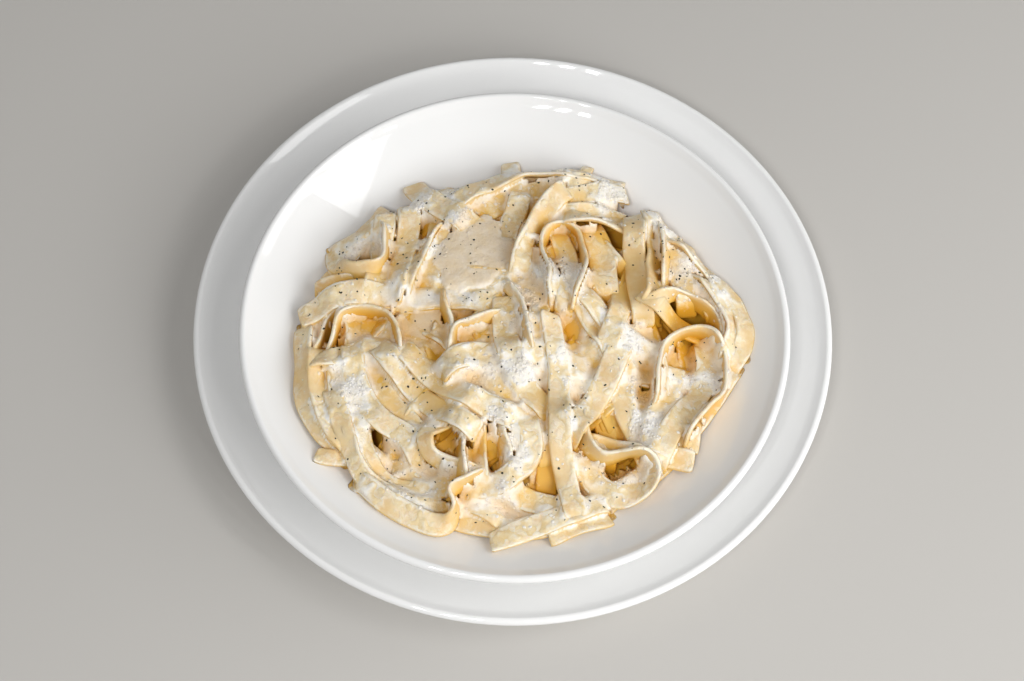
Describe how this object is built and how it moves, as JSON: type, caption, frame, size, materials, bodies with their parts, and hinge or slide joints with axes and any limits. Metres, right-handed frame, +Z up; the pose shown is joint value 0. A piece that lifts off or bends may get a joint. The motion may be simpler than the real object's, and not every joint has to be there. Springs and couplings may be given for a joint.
{
  "type": "four cheese pasta in a bowl on an underplate",
  "caption": "Heap of wide ribbon pasta in a cream cheese sauce with herb flecks, in a shallow white coupe bowl that stands on a white underplate.",
  "frame": {"origin": "on the table under the middle of the underplate's foot ring", "axes": "+Z up, -Y towards the diner whose view the picture shows, +X to that diner's right"},
  "size_m": [0.27, 0.27, 0.0547],
  "materials": {
    "porcelain": "clear gloss glaze over white",
    "pasta": "wet, coated in cream sauce with dark herb flecks"
  },
  "bodies": {
    "root": {"underplate": "porcelain", "bowl": "porcelain", "tagliatelle": "pasta"}
  },
  "joints": []
}
